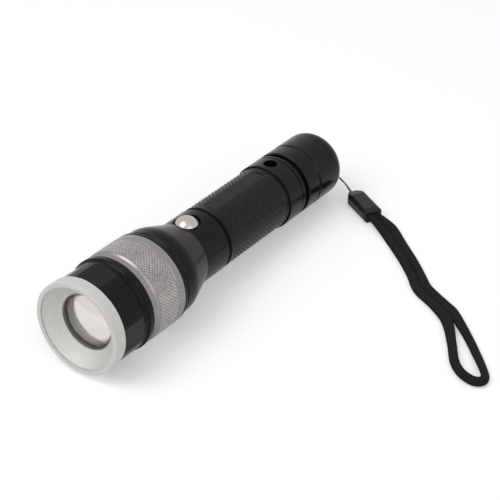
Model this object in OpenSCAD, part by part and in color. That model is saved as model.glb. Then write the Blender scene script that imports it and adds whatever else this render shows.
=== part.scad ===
// Zoom flashlight with a rotary focus ring, a screw tail cap and a wrist strap.
// Millimetres, +Z up. It lies on the floor along X with the lens toward +X.
// Each piece of the torch is drawn on a bench frame: tail end at z = 0, lens up,
// switch toward +X. lay() then puts it down on its collar and its tail cap.

/* [Battery tube] */
// diameter of the cell
cell_d = 18.4; // [16:0.1:20.5]
// length of the cell with its nub
cell_len = 65; // [60:0.5:72]
// radial clearance of the cell in its bore
cell_gap = 0.25; // [0.15:0.05:0.4]
// outside diameter of the battery tube
tube_d = 26; // [25.6:0.1:28]
// outside diameter of the smooth rear collar of the tube
rear_collar_d = 27.2; // [26:0.1:28]
// length of the tube between the two seal gaps
tube_len = 49.6; // [47:0.2:60]
// width of the plain label flat on top
label_width = 6.8; // [4:0.2:8]
// length of the plain label flat
label_len = 32; // [20:1:36]
// diameter of the charging port hole
port_d = 5.6; // [5:0.1:6]

/* [Tail cap] */
// outside diameter of the tail cap
tail_d = 27.2; // [25.6:0.1:29]
// length of the tail cap
tail_cap_len = 26.5; // [26:0.5:34]
// radius of the rounded rear edge
tail_round = 6; // [4:0.25:7]
// seal gap between tail cap and tube
tail_gap = 2.5; // [2:0.1:3]
// travel of the tail cap along its thread
cap_travel = 6; // [4:0.5:7]
// diameter of the cross pin for the wrist string
lanyard_pin_d = 1.8; // [1.4:0.1:2.2]

/* [Neck and collar] */
// outside diameter of the neck
neck_d = 26.3; // [25.8:0.1:28]
// length of the straight neck
neck_len = 10; // [9:0.5:14]
// seal gap between tube and neck
neck_gap = 1.8; // [1.6:0.1:2.4]
// length of the flared cone
cone_len = 18.1; // [15:0.1:22]
// outside diameter of the shoulder in front of the cone
shoulder_d = 35.4; // [34:0.2:36.4]
// length of the shoulder
shoulder_len = 2.5; // [2:0.1:4]
// outside diameter of the thin collar behind the focus ring
collar_d = 36.8; // [34:0.1:41]
// thickness of the collar
collar_len = 1.2; // [1:0.1:2]

/* [Switch] */
// diameter of the push button
button_d = 8.8; // [8:0.1:10.6]
// height of the button top above the neck
button_rise = 1.9; // [0.5:0.05:2.4]
// travel of the button
button_travel = 0.4; // [0.3:0.05:0.4]

/* [Focus ring] */
// height of the knurl above the collar
knurl_rise = 0.2; // [0:0.05:0.6]
// length of the focus ring
ring_len = 17.65; // [17:0.05:20]
// turn of the ring from near to far
focus_angle = 60; // [50:1:64]
// forward travel of the head over that turn
zoom_travel = 8; // [6:0.5:8]

/* [Head] */
// step in radius from the collar down to the lands of the head
head_drop = 0.25; // [0:0.05:0.6]
// distance across two opposite flats
head_flat_gap = 34.8; // [34:0.1:36]
// length of the black head sleeve
head_len = 15.85; // [15.5:0.05:18]
// step in radius from the collar up to the lip at the rear of the head
lip_rise = 0.1; // [0:0.05:0.4]

/* [Bezel and lens] */
// step in radius from the collar down to the front bezel
bezel_drop = 0.2; // [0:0.05:0.6]
// length of the bezel in front of the head
bezel_len = 5.3; // [4.6:0.1:7]
// diameter of the dish at its front edge
dish_d = 32.6; // [30:0.2:34]
// diameter of the opening at the bottom of the dish
lens_open_d = 22.3; // [21:0.1:23]
// height of the lens dome above its flange
lens_dome = 4.2; // [3:0.1:5]

/* [Wrist strap] */
// width of the woven strap
strap_width = 3.5; // [2.6:0.1:4.4]
// thickness of the woven strap
strap_thick = 1.7; // [1.4:0.1:2.4]
// diameter of the thin string
string_d = 0.6; // [0.5:0.05:0.7]
// length of the moulded connector
connector_len = 18.3; // [16:0.1:22]
// width of the moulded connector
connector_width = 8; // [7.6:0.1:10]
// height of the moulded connector
connector_height = 5.6; // [5:0.1:7]

/* [Fits] */
// free space between pieces that move past each other
run_gap = 0.3; // [0.3:0.05:0.4]
// radial clearance of a turned running fit
slide_fit = 0.08; // [0.05:0.01:0.1]
// radial clearance between pieces that stay together
seat_fit = 0.05; // [0.02:0.01:0.08]

/* [Hidden] */
$fn = 64;

// colours
black_metal = [0.10, 0.10, 0.11];
silver_metal = [0.78, 0.78, 0.76];
rubber_black = [0.05, 0.05, 0.05];
steel_grey = [0.60, 0.60, 0.62];
brass_yellow = [0.72, 0.58, 0.28];
board_green = [0.10, 0.30, 0.18];
white_plastic = [0.88, 0.88, 0.86];
cell_blue = [0.20, 0.32, 0.55];
strap_black = [0.12, 0.11, 0.12];

// radii of the outside
cell_r = cell_d / 2;
bore_d = cell_d + 2 * cell_gap;
bore_r = bore_d / 2;
tube_r = tube_d / 2;
rear_collar_r = rear_collar_d / 2;
tail_r = tail_d / 2;
neck_r = neck_d / 2;
collar_r = collar_d / 2;
shoulder_r = shoulder_d / 2;
ring_d = collar_d + 2 * knurl_rise;
ring_r = ring_d / 2;
knurl_step = 0.15;
ring_band_r = ring_r - knurl_step;
nose_step = 0.9;
ring_front_r = ring_r - nose_step;
lip_d = collar_d + 2 * lip_rise;
lip_r = lip_d / 2;
head_d = collar_d - 2 * head_drop;
head_r = head_d / 2;
bezel_d = collar_d - 2 * bezel_drop;
bezel_r = bezel_d / 2;
edge_cut = 0.4;
fine_cut = 0.2;

// stations along the torch, from the tail end forward
tail_front = tail_cap_len;
tube_rear = tail_front + tail_gap;
tube_front = tube_rear + tube_len;
neck_rear = tube_front + neck_gap;
neck_front = neck_rear + neck_len;
shoulder_rear = neck_front + cone_len;
shoulder_front = shoulder_rear + shoulder_len;
collar_groove = 1.9;
collar_rear = shoulder_front + collar_groove;
collar_front = collar_rear + collar_len;
ring_rear = collar_front + run_gap;
ring_front = ring_rear + ring_len;
head_rear = ring_front + run_gap;
head_front = head_rear + head_len;
torch_len = head_front + bezel_len;

// how it lies: on the collar and on the rounded tail
lie_angle = atan((collar_r - tail_r) / (collar_rear - tail_round));
lie_c = cos(lie_angle);
lie_s = sin(lie_angle);
rest_z = tail_round + (tail_r - tail_round) * lie_c - tail_round * lie_s;
front_x = torch_len * lie_c + (bezel_r - fine_cut) * lie_s;
rear_x = tail_round * lie_c - (tail_r - tail_round) * lie_s - tail_round;
tail_x = -(front_x + rear_x) / 2;

// tube: spigots, seats and grooves
spigot_wall = 1.85;
spigot_r = bore_r + spigot_wall;
seat_cut = 0.4;
seat_r = spigot_r - seat_cut;
spigot_hold = 2;
spigot_rear = tail_front - cap_travel - spigot_hold;
socket_depth = 5.6;
socket_rear = tube_front - socket_depth;
line_depth = 0.3;
line_width = 0.5;
line_at = 2;
line_gap = 9;
line_rear = tube_rear + line_at;
line_front = line_rear + line_gap;
port_set = 0.3;
port_z = (line_rear + line_front) / 2 - port_set;
label_r = sqrt(tube_r * tube_r - label_width * label_width / 4);
label_end = 3;
label_rear = tube_front - label_end - label_len;

// seals
tail_ring_minor = 0.9;
tail_ring_major = seat_r + tail_ring_minor + seat_fit;
neck_ring_minor = 0.75;
neck_ring_major = seat_r + neck_ring_minor + seat_fit;

// tail cap inside
cap_socket_r = spigot_r + slide_fit;
cap_socket_rear = spigot_rear - 2;
cap_pocket_rear = 7;
cap_pocket_step = 0.95;
cap_pocket_r = bore_r - cap_pocket_step;
cap_groove_at = 8;
cap_groove_z = tail_front - cap_groove_at;
cap_groove_half = 0.75;
cap_groove_depth = 0.6;
slot_width = 3.5;
slot_len = 14;
slot_depth = 4;
pin_z = slot_depth / 2;
pin_r = lanyard_pin_d / 2;
pin_low = 11;
pin_high = 4;

// tail contact
plate_r = cap_pocket_r - run_gap;
plate_rear = cap_pocket_rear + run_gap;
plate_thick = 0.8;
wire_r = 0.5;
coil_r = 6.5;
coil_turns = 5;
carrier_set = 4;
carrier_rear = tail_front - carrier_set;
coil_low = plate_rear + plate_thick + wire_r;
coil_high = carrier_rear - run_gap - wire_r;
coil_steps = 12;
coil_path = [for (i = [0 : coil_turns * coil_steps])
    let (turn = 360 * i / coil_steps, rise = i / (coil_turns * coil_steps))
    [coil_r * cos(turn), coil_r * sin(turn), coil_low + (coil_high - coil_low) * rise]];
coil_gap = min([for (i = [0 : len(coil_path) - 1 - coil_steps / 2])
    for (k = [i + coil_steps / 2 : len(coil_path) - 1])
    norm(coil_path[k] - coil_path[i])]) - 2 * wire_r;
echo(coil_gap = coil_gap);

// charging insert
pocket_half = 4.6;
pocket_floor = -3;
pocket_back = 7.2;
pocket_ahead = 4.1;
pocket_rear = port_z - pocket_back;
pocket_front = port_z + pocket_ahead;
charge_board_thick = 1.4;
socket_half = 3.6;
socket_floor = pocket_floor + charge_board_thick;
socket_top = sqrt(bore_r * bore_r - socket_half * socket_half) - 0.15;
port_r = port_d / 2;
dc_floor = 0.5;
dc_bore_r = 1.9;
dc_pin_r = 0.65;
dc_pin_set = 1.2;

// cell stack, from the charging insert forward to the driver board
stack_gap = 0.1;
carrier_wall = 1.2;
carrier_front = pocket_front + carrier_wall;
carrier_r = bore_r - 2 * seat_fit;
contact_r = 5;
contact_thick = 0.6;
cell_contact_len = 3.4;
cell_rear = carrier_front + cell_contact_len + stack_gap;
cell_front = cell_rear + cell_len;
nub_r = 3.5;
nub_len = 1.2;
driver_contact_r = 3;
driver_contact_len = 2.6;
driver_rear = cell_front + stack_gap + driver_contact_len;
driver_thick = 1.4;
driver_seat = 0.3;
barrel_step = driver_rear - driver_seat;

// collar and barrel
cone_round = 12;
cone_angle = 15;
collar_groove_depth = 0.7;
collar_groove_r = shoulder_r - collar_groove_depth;
ring_wall = 2.85;
ring_bore_r = ring_r - ring_wall;
skirt_room = 2.75;
barrel_r = ring_bore_r - skirt_room;
barrel_wall = 2.4;
barrel_bore_r = barrel_r - barrel_wall;
barrel_set = 2.55;
barrel_front = ring_front - barrel_set;
clip_depth = 0.5;
clip_groove_r = barrel_r - clip_depth;
ring_flange_len = 1.5;
clip_thick = 0.8;
clip_rear = ring_rear + ring_flange_len + run_gap;
clip_front = clip_rear + clip_thick;
clip_rise = 1.4;
clip_r = barrel_r + clip_rise;
cam_count = 3;
cam_first = 60;
follower_r = 1.2;
follower_set = 3;
follower_z = clip_front + follower_set;
follower_grip = 1.1;
follower_in = barrel_r - follower_grip;
follower_reach = 1.15;
follower_out = ring_bore_r + follower_reach;
guide_half = follower_r + 2 * seat_fit;
guide_r = follower_in - run_gap;

// switch, heights measured from the torch axis
switch_set = 9.2;
switch_z = neck_rear + switch_set;
ledge_wall = 0.15;
ledge_h = bore_r + ledge_wall;
switch_board_thick = 0.3;
button_r = button_d / 2;
pocket_room = 0.95;
pocket_r = button_r + pocket_room;
ledge_width = 1.65;
wire_hole_r = pocket_r - ledge_width;
board_top = ledge_h + switch_board_thick;
flange_low = board_top + button_travel + run_gap;
flange_thick = 0.35;
flange_room = 0.4;
button_flange_r = pocket_r - flange_room;
clip_low = flange_low + flange_thick + run_gap;
button_ring_thick = 0.3;
clip_high = clip_low + button_ring_thick;
button_top = neck_r + button_rise;
button_dome = 2.6;
button_rim = button_top - button_dome;
button_sphere = (button_r * button_r + button_dome * button_dome) / (2 * button_dome);
button_wall = 0.9;
button_inside_r = button_r - button_wall;
button_skin = 0.1;
button_inside = button_rim - button_skin;
plunger_r = 1.2;
tact_r = 2.2;
tact_len = 1.3;
tact_top = board_top + tact_len;
plunger_set = 1;
plunger_low = board_top + plunger_set;
tact_floor = plunger_low - button_travel - run_gap;

// light engine
pill_r = barrel_bore_r - seat_fit;
pill_rear = driver_rear + driver_thick + run_gap;
pill_set = 2;
pill_front = barrel_front - pill_set;
pill_floor = 3;
pill_wall = 1.55;
led_board_thick = 1.6;
led_board_step = 1.05;
led_board_r = pill_r - led_board_step;
led_top = pill_front + led_board_thick;
screw_at = 6.2;
screw_r = 1;
screw_head_r = 1.9;
screw_head = 1.1;
screw_depth = 2.7;
wire_at = 5.5;
lead_r = 0.6;

// focus ring
cam_floor_r = follower_out + run_gap;
cam_width = 6.6;
cam_extra = 1.5;
cam_len = zoom_travel + 2 * cam_extra;
cam_twist = focus_angle * cam_len / zoom_travel;
cam_lead = focus_angle * cam_extra / zoom_travel;
band_len = 3.6;
knurl_rear = ring_rear + band_len;
nose_len = 3.45;
knurl_front = ring_front - nose_len;
ring_slope = 1.1;

// head
skirt_bore_r = barrel_r + slide_fit;
skirt_r = ring_bore_r - run_gap - seat_fit;
skirt_set = 0.75;
skirt_rear = clip_front + skirt_set;
lip_len = 2.15;
lip_front = head_rear + lip_len;
head_groove_depth = 0.85;
head_groove_r = head_r - head_groove_depth;
head_groove_round = 1.9;
head_groove_at = 1.75;
head_groove_z = lip_front + head_groove_at;
flat_set = 2.4;
flat_rear = lip_front + flat_set;
flat_count = 8;
flat_clock = 4;
thread_wall = 1.95;
thread_r = head_r - thread_wall;
thread_step = 1.2;
head_bore_r = thread_r - thread_step;
thread_len = 7.9;
thread_rear = head_front - thread_len;

// bezel and lens
bezel_spigot_r = thread_r - seat_fit;
thread_room = 0.6;
bezel_spigot_rear = thread_rear + thread_room;
dish_r = dish_d / 2;
rim_cut = 0.1;
lens_open_r = lens_open_d / 2;
lens_seat_step = 1.45;
lens_seat_r = lens_open_r + lens_seat_step;
ledge_set = 0.36;
ledge_front = head_front - ledge_set;
ledge_thick = 2.04;
ledge_rear = ledge_front - ledge_thick;
gasket_thick = 1.2;
gasket_set = 0.1;
gasket_front = ledge_front - gasket_set;
lens_front = ledge_rear - gasket_thick;
lens_edge = 1.6;
lens_rear = lens_front - lens_edge;
lens_room = 0.2;
lens_r = lens_seat_r - lens_room;
dome_step = 0.45;
lens_dome_r = lens_open_r - dome_step;
lens_sphere = (lens_dome_r * lens_dome_r + lens_dome * lens_dome) / (2 * lens_dome);
gasket_in_r = lens_dome_r + seat_fit;
retainer_set = 0.2;
retainer_rear = bezel_spigot_rear + retainer_set;
retainer_step = 0.35;
retainer_in_r = lens_open_r - retainer_step;
key_width = 2;
key_depth = 0.8;

// wrist strap, positions on the floor measured from just behind the tail end
strap_from = tail_x - 1.5;
connector_at = [2, 17.5];
connector_turn = 60;
string_h = 2.9;
strap_h = strap_thick / 2;
strap_pair = 1.5;
strap_in = 1.8;
strap_grip = 0.76;
grip_rings = 4;
flare_rings = 5;

// bench point to its place on the floor
function lay_point(p) = [tail_x + p[2] * lie_c - p[0] * lie_s,
                         -p[1],
                         rest_z + p[2] * lie_s + p[0] * lie_c];

// connector point to its place on the floor
function held(along, across, up) = [
    strap_from + connector_at[0] + along * cos(connector_turn) - across * sin(connector_turn),
    connector_at[1] + along * sin(connector_turn) + across * cos(connector_turn),
    up];

// point on the floor, measured from just behind the tail end
function floor_point(x, y, z) = [strap_from + x, y, z];

// smooth curve through a list of points
function curve_at(a, b, c, d, u) = b + (c - a) * u / 2
    + (2 * a - 5 * b + 4 * c - d) * u * u / 2
    + (3 * b - a - 3 * c + d) * u * u * u / 2;
function pick(list, i) = list[max(0, min(len(list) - 1, i))];
function smooth(list, steps) = concat(
    [for (i = [0 : len(list) - 2]) for (s = [0 : steps - 1])
        curve_at(pick(list, i - 1), list[i], list[i + 1], pick(list, i + 2), s / steps)],
    [list[len(list) - 1]]);

// rings of tube points across a path, drawn in to a share of their width at both ends
function unit(v) = v / norm(v);
function heading(path, i) = unit(pick(path, i + 1) - pick(path, i - 1));
function across(path, i) = unit(cross([0, 0, 1], heading(path, i)));
function tube_points(path, section, grip) = [for (i = [0 : len(path) - 1])
    let (side = across(path, i), up = cross(heading(path, i), side),
         free = max(0, min(1, (min(i, len(path) - 1 - i) - grip_rings) / flare_rings)),
         spread = grip + (1 - grip) * free)
    for (s = section) path[i] + spread * s[0] * side + s[1] * up];
function tube_sides(rings, n) = [for (i = [0 : rings - 2]) for (k = [0 : n - 1])
    for (half = [0, 1])
    let (a = i * n + k, b = i * n + (k + 1) % n)
    half == 0 ? [a, b, b + n] : [a, b + n, a + n]];
function tube_ends(rings, n) = [[for (k = [0 : n - 1]) n - 1 - k],
                                [for (k = [0 : n - 1]) (rings - 1) * n + k]];

// cross sections
function round_section(r) = [for (k = [0 : 7]) [r * cos(45 * k + 22.5), r * sin(45 * k + 22.5)]];
function strap_section(w, t) = [[0.5 * w, 0.22 * t], [0.36 * w, 0.5 * t], [-0.36 * w, 0.5 * t],
    [-0.5 * w, 0.22 * t], [-0.5 * w, -0.22 * t], [-0.36 * w, -0.5 * t], [0.36 * w, -0.5 * t],
    [0.5 * w, -0.22 * t]];

// string: from the connector round the cross pin and back
wrap_r = pin_r + string_d / 2 + seat_fit;
string_route = [
    held(1.5, -0.45, string_h),
    held(0, -0.45, string_h),
    floor_point(0.5, 13, 5),
    floor_point(-1.4, 7.5, 8.6),
    floor_point(-1.7, 3.4, 11.6),
    lay_point([0, -1.5, 0.3]),
    lay_point([0, -wrap_r, pin_z]),
    lay_point([0, -0.7 * wrap_r, pin_z + 0.7 * wrap_r]),
    lay_point([0, 0, pin_z + wrap_r]),
    lay_point([0, 0.7 * wrap_r, pin_z + 0.7 * wrap_r]),
    lay_point([0, wrap_r, pin_z]),
    lay_point([0, 1.1, 0.2]),
    floor_point(-2.6, 0.2, 12.5),
    floor_point(-3.3, 3.6, 11.3),
    floor_point(-2.6, 8, 8.6),
    floor_point(-0.5, 13.4, 5),
    held(0, 0.45, string_h),
    held(1.5, 0.45, string_h)];
string_path = smooth(string_route, 4);

// strap: out along the front strand, round the loop and back along the rear strand
strap_route = [
    held(connector_len - strap_in, -strap_pair, string_h),
    held(connector_len, -strap_pair, string_h),
    floor_point(15.3, 39.6, strap_h + 0.8),
    floor_point(21.7, 48.5, strap_h),
    floor_point(29.6, 58.6, strap_h),
    floor_point(36.6, 66.4, strap_h),
    floor_point(41.2, 70.7, strap_h),
    floor_point(44.6, 75, strap_h),
    floor_point(48.4, 82.9, strap_h),
    floor_point(54.7, 91.7, strap_h),
    floor_point(64.9, 99.9, strap_h),
    floor_point(74, 106.2, strap_h),
    floor_point(78.6, 111.5, strap_h),
    floor_point(80.4, 116.4, strap_h),
    floor_point(79.7, 119.2, strap_h),
    floor_point(77.4, 120, strap_h),
    floor_point(73.8, 118.1, strap_h),
    floor_point(66, 110.8, strap_h),
    floor_point(57.6, 102.3, strap_h),
    floor_point(48, 91.6, strap_h),
    floor_point(45.2, 86.4, strap_h),
    floor_point(41.3, 78.4, strap_h),
    floor_point(38.7, 74, strap_h),
    floor_point(34.5, 69.5, strap_h),
    floor_point(27.4, 61.7, strap_h),
    floor_point(19.3, 51.8, strap_h),
    floor_point(12.7, 42.7, strap_h + 0.8),
    held(connector_len, strap_pair, string_h),
    held(connector_len - strap_in, strap_pair, string_h)];
strap_path = smooth(strap_route, 3);

// put a bench piece down on the floor
module lay() {
    translate([tail_x, 0, rest_z]) rotate([0, 90 - lie_angle, 0]) rotate([0, 0, 180]) children();
}

// turned solid from an outline of radius and height
module lathe(outline) {
    rotate_extrude() polygon(outline);
}

// turned ring
module turned_ring(outer, inner, low, high) {
    lathe([[inner, low], [outer, low], [outer, high], [inner, high]]);
}

// round seal
module seal(major, minor, z) {
    translate([0, 0, z]) rotate_extrude() translate([major, 0]) circle(r = minor, $fn = 24);
}

// round bar that points away from the torch axis toward the switch side
module toward_switch(r, from, to, z) {
    translate([from, 0, z]) rotate([0, 90, 0]) cylinder(r = r, h = to - from);
}

// tube along a path
module tube(path, section, grip = 1) {
    polyhedron(points = tube_points(path, section, grip),
               faces = concat(tube_sides(len(path), len(section)), tube_ends(len(path), len(section))));
}

// knurled battery tube with label flat and port hole
module body_tube() {
    color(black_metal) lay() difference() {
        lathe([[bore_r, spigot_rear], [spigot_r, spigot_rear], [spigot_r, tail_front - edge_cut],
               [seat_r, tail_front - edge_cut], [seat_r, tube_rear], [rear_collar_r - edge_cut, tube_rear],
               [rear_collar_r, tube_rear + edge_cut], [rear_collar_r, line_rear - line_width / 2],
               [rear_collar_r - line_depth, line_rear - line_width / 2],
               [rear_collar_r - line_depth, line_rear + line_width / 2],
               [rear_collar_r, line_rear + line_width / 2], [rear_collar_r, line_front - line_width / 2],
               [tube_r - line_depth, line_front - line_width / 2],
               [tube_r - line_depth, line_front + line_width / 2], [tube_r, line_front + line_width / 2],
               [tube_r, tube_front - edge_cut], [tube_r - edge_cut, tube_front],
               [spigot_r + seat_fit, tube_front], [spigot_r + seat_fit, socket_rear],
               [bore_r, socket_rear]]);
        translate([label_r, -label_width, label_rear]) cube([tube_r, 2 * label_width, label_len]);
        toward_switch(port_r, 0, rear_collar_r + 1, port_z);
    }
}

// screw cap with the slot for the wrist string
module tail_cap() {
    rear_edge = [for (a = [90 : -15 : 0])
        [tail_r - tail_round + tail_round * cos(a), tail_round - tail_round * sin(a)]];
    color(black_metal) lay() difference() {
        lathe(concat([[0, 0]], rear_edge,
            [[tail_r, cap_groove_z - cap_groove_half], [tail_r - cap_groove_depth, cap_groove_z],
             [tail_r, cap_groove_z + cap_groove_half],
             [tail_r, tail_front - edge_cut], [tail_r - edge_cut, tail_front],
             [cap_socket_r, tail_front], [cap_socket_r, cap_socket_rear],
             [cap_pocket_r, cap_socket_rear], [cap_pocket_r, cap_pocket_rear], [0, cap_pocket_rear]]));
        translate([-slot_width / 2, -slot_len / 2, -1]) cube([slot_width, slot_len, slot_depth + 1]);
        toward_switch(pin_r + seat_fit / 2, -tail_r, pin_high + seat_fit, pin_z);
    }
}

// seal between tail cap and tube
module tail_o_ring() {
    color(rubber_black) lay() seal(tail_ring_major, tail_ring_minor, tail_front + tail_gap / 2);
}

// seal between tube and neck
module neck_o_ring() {
    color(rubber_black) lay() seal(neck_ring_major, neck_ring_minor, tube_front + neck_gap / 2);
}

// cross pin that holds the wrist string
module lanyard_pin() {
    color(steel_grey) lay() toward_switch(pin_r, -pin_low, pin_high, pin_z);
}

// contact plate under the tail spring
module spring_plate() {
    color(brass_yellow) lay() translate([0, 0, plate_rear]) cylinder(r = plate_r, h = plate_thick);
}

// tail contact spring
module tail_spring() {
    color(steel_grey) lay() tube(coil_path, round_section(wire_r));
}

// plastic insert behind the charging port
module charge_carrier() {
    color(white_plastic) lay() difference() {
        translate([0, 0, carrier_rear]) cylinder(r = carrier_r, h = carrier_front - carrier_rear);
        translate([pocket_floor, -pocket_half, pocket_rear])
            cube([carrier_r - pocket_floor + 1, 2 * pocket_half, pocket_front - pocket_rear]);
    }
}

// charging board on the pocket floor
module charge_board() {
    color(board_green) lay()
        translate([pocket_floor, -pocket_half + seat_fit, pocket_rear + seat_fit])
            cube([charge_board_thick, 2 * (pocket_half - seat_fit),
                  pocket_front - pocket_rear - 2 * seat_fit]);
}

// charging socket under the port hole
module dc_socket() {
    color(rubber_black) lay() difference() {
        translate([socket_floor, -socket_half, port_z - socket_half])
            cube([socket_top - socket_floor, 2 * socket_half, 2 * socket_half]);
        toward_switch(dc_bore_r, dc_floor, socket_top + 1, port_z);
    }
}

// centre contact of the charging socket
module dc_contact() {
    color(brass_yellow) lay() toward_switch(dc_pin_r, dc_floor, socket_top - dc_pin_set, port_z);
}

// rear contact of the cell
module cell_contact() {
    contact_front = carrier_front + cell_contact_len;
    color(brass_yellow) lay() lathe([[0, carrier_front], [contact_r, carrier_front],
        [contact_r, carrier_front + contact_thick], [contact_r / 2, carrier_front + contact_thick],
        [contact_r / 2, contact_front], [0, contact_front]]);
}

// cylindrical cell with its nub
module battery_cell() {
    color(cell_blue) lay() lathe([[0, cell_rear], [cell_r, cell_rear], [cell_r, cell_front - nub_len],
        [nub_r, cell_front - nub_len], [nub_r, cell_front], [0, cell_front]]);
}

// front contact of the cell
module driver_contact() {
    color(brass_yellow) lay() translate([0, 0, driver_rear - driver_contact_len])
        cylinder(r = driver_contact_r, h = driver_contact_len);
}

// round driver board
module driver_board() {
    color(board_green) lay() translate([0, 0, driver_rear])
        cylinder(r = barrel_bore_r - 4 * seat_fit, h = driver_thick);
}

// neck, cone and collar with the barrel for ring and head
module switch_housing() {
    shoulder_edge = [for (a = [cone_angle : -5 : 0])
        [shoulder_r - cone_round * (1 - cos(a)), shoulder_rear - cone_round * sin(a)]];
    color(black_metal) lay() difference() {
        lathe(concat(
            [[bore_r, socket_rear + 0.5], [spigot_r, socket_rear + 0.5], [spigot_r, tube_front - edge_cut],
             [seat_r, tube_front - edge_cut], [seat_r, neck_rear], [neck_r - fine_cut, neck_rear],
             [neck_r, neck_rear + fine_cut], [neck_r, neck_front]],
            shoulder_edge,
            [[shoulder_r, shoulder_front], [collar_groove_r, shoulder_front + 0.9],
             [collar_groove_r, shoulder_front + 1.3], [collar_r, collar_rear],
             [collar_r, collar_front - fine_cut], [collar_r - fine_cut, collar_front],
             [barrel_r, collar_front], [barrel_r, clip_rear - seat_fit],
             [clip_groove_r, clip_rear - seat_fit], [clip_groove_r, clip_front + seat_fit],
             [barrel_r, clip_front + seat_fit],
             [barrel_r, barrel_front], [barrel_bore_r, barrel_front], [barrel_bore_r, barrel_step],
             [bore_r, barrel_step]]));
        toward_switch(pocket_r, ledge_h, collar_r, switch_z);
        toward_switch(wire_hole_r, 0, ledge_h + 1, switch_z);
        for (n = [0 : cam_count - 1])
            rotate([0, 0, cam_first + 360 * n / cam_count])
                translate([guide_r, -guide_half, follower_z - follower_r - run_gap])
                    cube([barrel_r, 2 * guide_half, barrel_front]);
    }
}

// round board under the button
module switch_board() {
    color(board_green) lay() toward_switch(pocket_r - 0.25, ledge_h, board_top, switch_z);
}

// switch body with the well for its plunger
module tact_switch() {
    color(rubber_black) lay() difference() {
        toward_switch(tact_r, board_top, tact_top, switch_z);
        toward_switch(plunger_r + run_gap, tact_floor, tact_top + 1, switch_z);
    }
}

// plunger that the button pushes
module switch_plunger() {
    color(white_plastic) lay() toward_switch(plunger_r, plunger_low, button_inside, switch_z);
}

// domed push button with its flange
module switch_button() {
    color(silver_metal) lay() difference() {
        union() {
            intersection() {
                toward_switch(button_r, button_rim - 0.5, button_top + 1, switch_z);
                translate([button_top - button_sphere, 0, switch_z]) sphere(r = button_sphere, $fn = 96);
            }
            toward_switch(button_r, flange_low, button_rim - 0.25, switch_z);
            toward_switch(button_flange_r, flange_low, flange_low + flange_thick, switch_z);
        }
        toward_switch(button_inside_r, flange_low - 1, button_inside, switch_z);
    }
}

// ring that keeps the button in
module button_ring() {
    color(rubber_black) lay() difference() {
        toward_switch(pocket_r - seat_fit, clip_low, clip_high, switch_z);
        toward_switch(button_r + run_gap, clip_low - 1, clip_high + 1, switch_z);
    }
}

// metal carrier of the light source
module led_pill() {
    color(brass_yellow) lay() difference() {
        lathe([[pill_r - pill_wall, pill_rear], [pill_r, pill_rear], [pill_r, pill_front], [0, pill_front],
               [0, pill_front - pill_floor], [pill_r - pill_wall, pill_front - pill_floor]]);
        for (side = [-1, 1]) {
            translate([side * screw_at, 0, pill_rear]) cylinder(r = screw_r + seat_fit, h = torch_len);
            translate([0, side * wire_at, pill_rear]) cylinder(r = lead_r + run_gap, h = torch_len);
        }
    }
}

// board of the light source
module led_board() {
    color(white_plastic) lay() difference() {
        translate([0, 0, pill_front]) cylinder(r = led_board_r, h = led_board_thick);
        for (side = [-1, 1]) {
            translate([side * screw_at, 0, pill_rear]) cylinder(r = screw_r + seat_fit, h = torch_len);
            translate([0, side * wire_at, pill_rear]) cylinder(r = lead_r + run_gap, h = torch_len);
        }
    }
}

// light source
module led_emitter() {
    color([0.92, 0.82, 0.30]) lay() union() {
        translate([-2.5, -2.5, led_top]) cube([5, 5, 0.6]);
        intersection() {
            translate([0, 0, led_top + 0.3]) sphere(r = 2.2);
            translate([-3, -3, led_top + 0.3]) cube([6, 6, 3]);
        }
    }
}

// two screws of the light source board
module led_screws() {
    color(steel_grey) lay() for (side = [-1, 1])
        translate([side * screw_at, 0, 0]) difference() {
            lathe([[0, pill_front - screw_depth], [screw_r, pill_front - screw_depth],
                   [screw_r, led_top], [screw_head_r, led_top],
                   [screw_head_r, led_top + screw_head], [0, led_top + screw_head]]);
            translate([-3, -0.25, led_top + screw_head - 0.5]) cube([6, 0.5, 1]);
        }
}

// two leads from the driver board to the light source
module led_wires() {
    color([0.65, 0.12, 0.10]) lay() for (side = [-1, 1])
        translate([0, side * wire_at, driver_rear + driver_thick])
            cylinder(r = lead_r, h = led_top + 0.8 - driver_rear - driver_thick);
}

// snap ring that keeps the focus ring on the barrel
module ring_circlip() {
    color(steel_grey) lay() difference() {
        turned_ring(clip_r, clip_groove_r + seat_fit, clip_rear, clip_front);
        translate([0, -1.5, clip_rear - 1]) cube([clip_r + 1, 3, clip_thick + 2]);
    }
}

// knurled ring with three cam grooves inside
module focus_ring() {
    color(silver_metal) lay() difference() {
        lathe([[barrel_r + slide_fit, ring_rear], [ring_band_r - fine_cut, ring_rear],
               [ring_band_r, ring_rear + fine_cut], [ring_band_r, knurl_rear - knurl_step],
               [ring_r, knurl_rear], [ring_r, knurl_front], [ring_front_r, knurl_front + ring_slope],
               [ring_front_r, ring_front - fine_cut], [ring_front_r - fine_cut, ring_front],
               [ring_bore_r, ring_front], [ring_bore_r, ring_rear + ring_flange_len],
               [barrel_r + slide_fit, ring_rear + ring_flange_len]]);
        for (n = [0 : cam_count - 1])
            translate([0, 0, follower_z - cam_extra])
                rotate([0, 0, cam_first + 360 * n / cam_count + cam_lead])
                    linear_extrude(height = cam_len, twist = cam_twist, slices = 16, $fn = 4)
                        translate([ring_bore_r - 1, -cam_width / 2])
                            square([cam_floor_r - ring_bore_r + 1, cam_width]);
    }
}

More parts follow.
